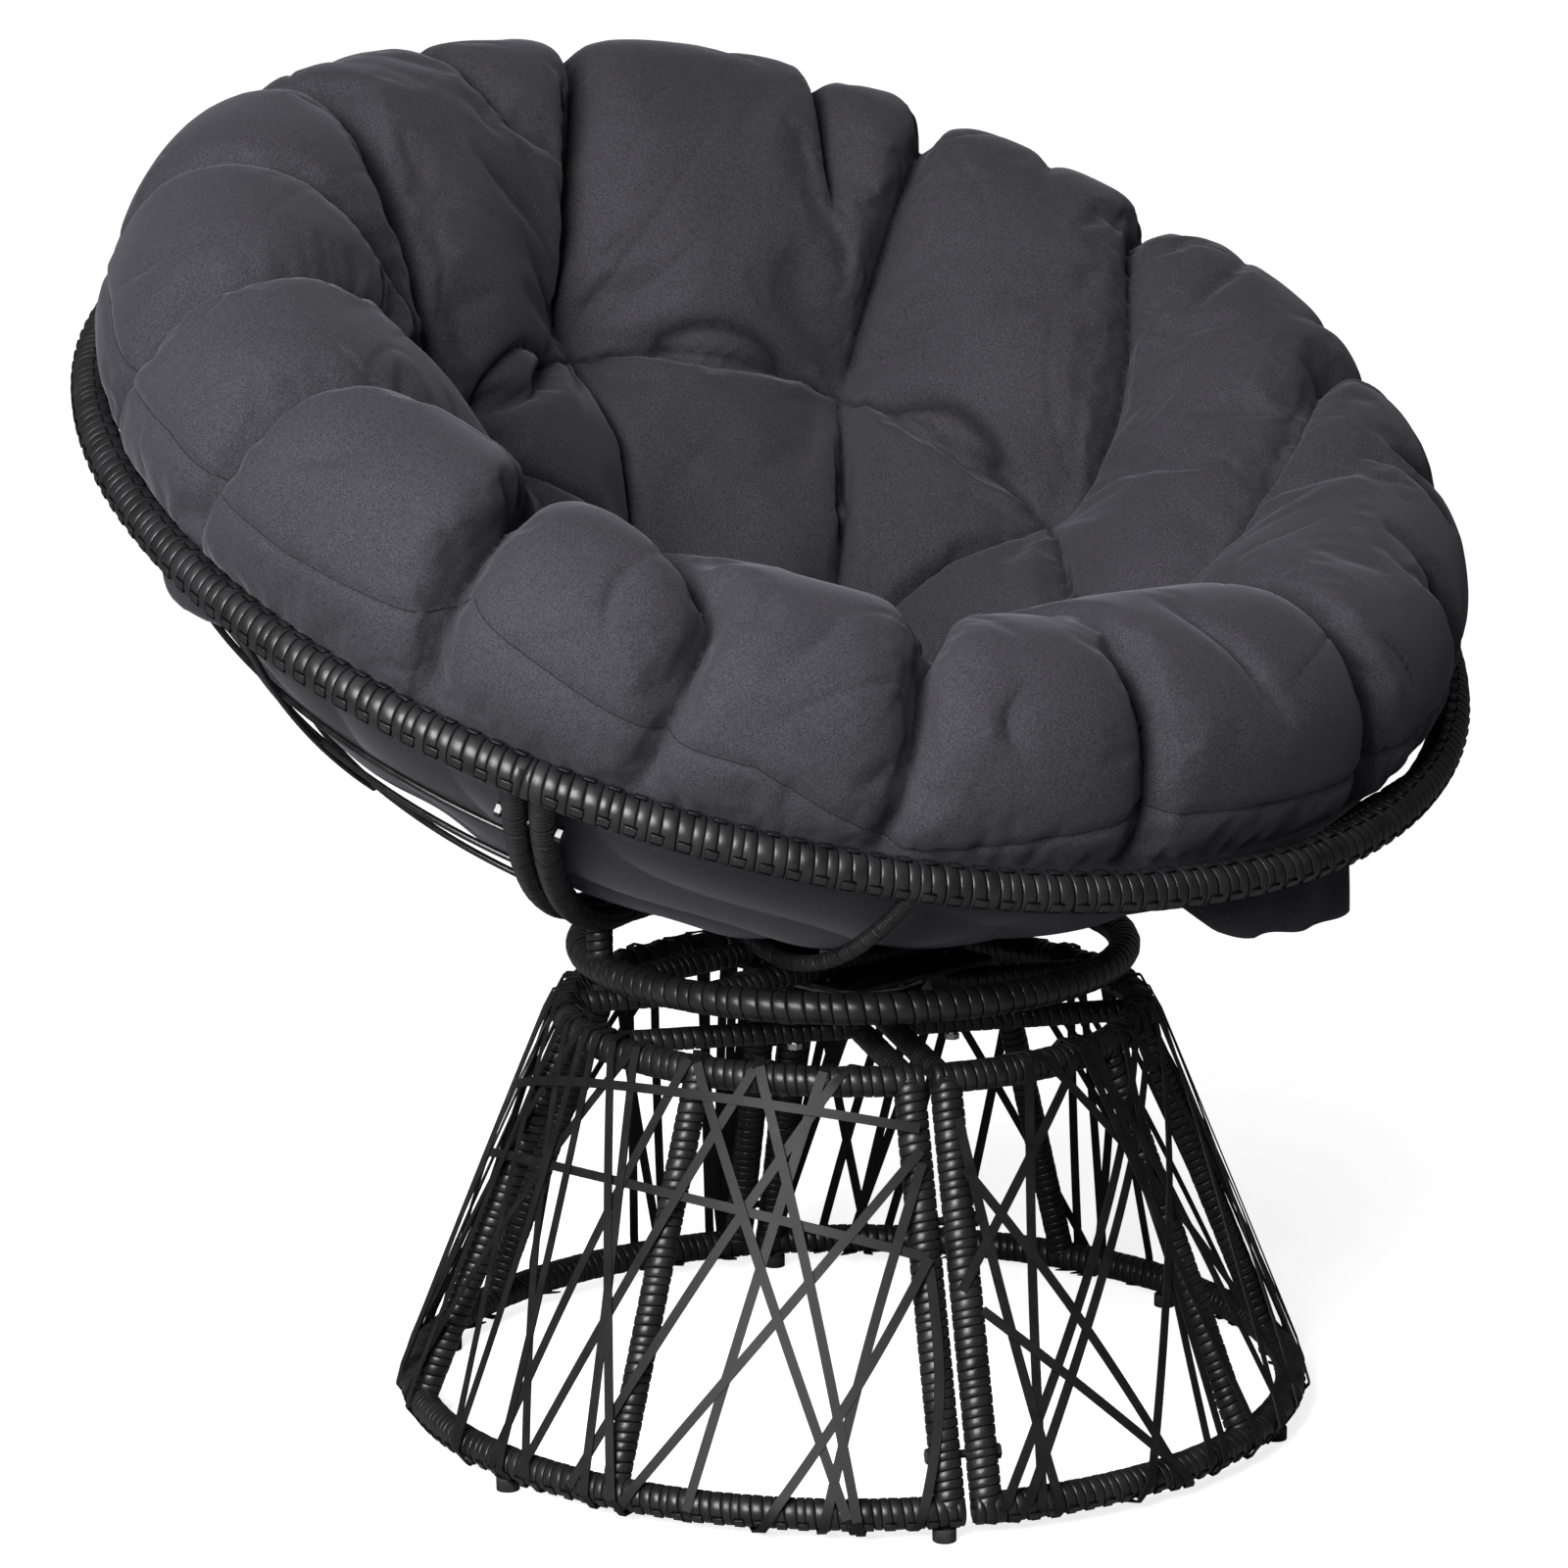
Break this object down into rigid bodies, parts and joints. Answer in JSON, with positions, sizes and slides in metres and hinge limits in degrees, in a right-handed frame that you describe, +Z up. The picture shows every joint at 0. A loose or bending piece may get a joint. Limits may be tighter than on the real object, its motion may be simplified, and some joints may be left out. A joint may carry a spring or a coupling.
{
  "type": "papasan chair",
  "caption": "Round dished lounge chair: tufted cushion in a tilted ribbed bowl frame that swivels on a laced, cone-shaped wicker base with levelling feet.",
  "frame": {"origin": "on the floor, under the middle of the bowl's rim, which is also the middle of the chair's box", "axes": "+Z up; the chair faces -Y, where its bowl is lowest; +X is the sitter's left"},
  "size_m": [1.0306, 0.9588, 0.961],
  "materials": {
    "wicker": "flat resin strand wound round steel tube, near black, soft gloss",
    "strand": "flat resin strand, near black, soft gloss",
    "black_steel": "black powder coat",
    "zinc_steel": "bright zinc plate",
    "glide": "matt black",
    "fabric": "fine heathered charcoal weave"
  },
  "bodies": {
    "base": {"left_lower_ring": "wicker", "left_top_frame": "wicker", "left_leg_1": "wicker", "left_leg_2": "wicker", "left_leg_3": "wicker", "left_leg_4": "wicker", "left_leg_5": "wicker", "left_lacing_1": "strand", "left_lacing_2": "strand", "left_lacing_3": "strand", "left_lacing_4": "strand", "right_lower_ring": "wicker", "right_top_frame": "wicker", "right_leg_1": "wicker", "right_leg_2": "wicker", "right_leg_3": "wicker", "right_leg_4": "wicker", "right_leg_5": "wicker", "right_lacing_1": "strand", "right_lacing_2": "strand", "right_lacing_3": "strand", "right_lacing_4": "strand", "base_seam_bolt_1": "black_steel", "lower_plate_bolt_1": "zinc_steel", "base_seam_bolt_2": "black_steel", "lower_plate_bolt_2": "zinc_steel", "base_seam_bolt_3": "black_steel", "lower_plate_bolt_3": "zinc_steel", "base_seam_bolt_4": "black_steel", "lower_plate_bolt_4": "zinc_steel", "swivel_lower_plate": "black_steel", "swivel_ball_cage": "zinc_steel", "swivel_pin": "zinc_steel"},
    "seat": {"swivel_upper_plate": "black_steel", "cradle": "wicker", "bowl_front_frame": "wicker", "bowl_left_frame": "wicker", "bowl_right_frame": "wicker", "left_wire_cage": "black_steel", "right_wire_cage": "black_steel", "cushion": "fabric", "upper_plate_bolt_1": "zinc_steel", "upper_plate_bolt_2": "zinc_steel", "upper_plate_bolt_3": "zinc_steel", "upper_plate_bolt_4": "zinc_steel", "post_bolt_1": "black_steel", "post_bolt_2": "black_steel", "post_bolt_3": "black_steel", "rim_bolt_1": "black_steel", "rim_bolt_2": "black_steel", "rim_bolt_3": "black_steel"},
    "left_foot_1": {"left_foot_1": "glide"},
    "left_foot_2": {"left_foot_2": "glide"},
    "left_foot_3": {"left_foot_3": "glide"},
    "right_foot_1": {"right_foot_1": "glide"},
    "right_foot_2": {"right_foot_2": "glide"},
    "right_foot_3": {"right_foot_3": "glide"}
  },
  "joints": [
    {"name": "swivel", "type": "hinge", "parent": "base", "child": "seat", "pos_m": [0, -0.074, 0.317], "axis": [0, 0, 1], "continuous": true},
    {"name": "left_foot_1_height", "type": "slide", "parent": "base", "child": "left_foot_1", "axis": [0, 0, -1], "range_m": [0, 0.008]},
    {"name": "left_foot_2_height", "type": "slide", "parent": "base", "child": "left_foot_2", "axis": [0, 0, -1], "range_m": [0, 0.008]},
    {"name": "left_foot_3_height", "type": "slide", "parent": "base", "child": "left_foot_3", "axis": [0, 0, -1], "range_m": [0, 0.008]},
    {"name": "right_foot_1_height", "type": "slide", "parent": "base", "child": "right_foot_1", "axis": [0, 0, -1], "range_m": [0, 0.008]},
    {"name": "right_foot_2_height", "type": "slide", "parent": "base", "child": "right_foot_2", "axis": [0, 0, -1], "range_m": [0, 0.008]},
    {"name": "right_foot_3_height", "type": "slide", "parent": "base", "child": "right_foot_3", "axis": [0, 0, -1], "range_m": [0, 0.008]}
  ]
}
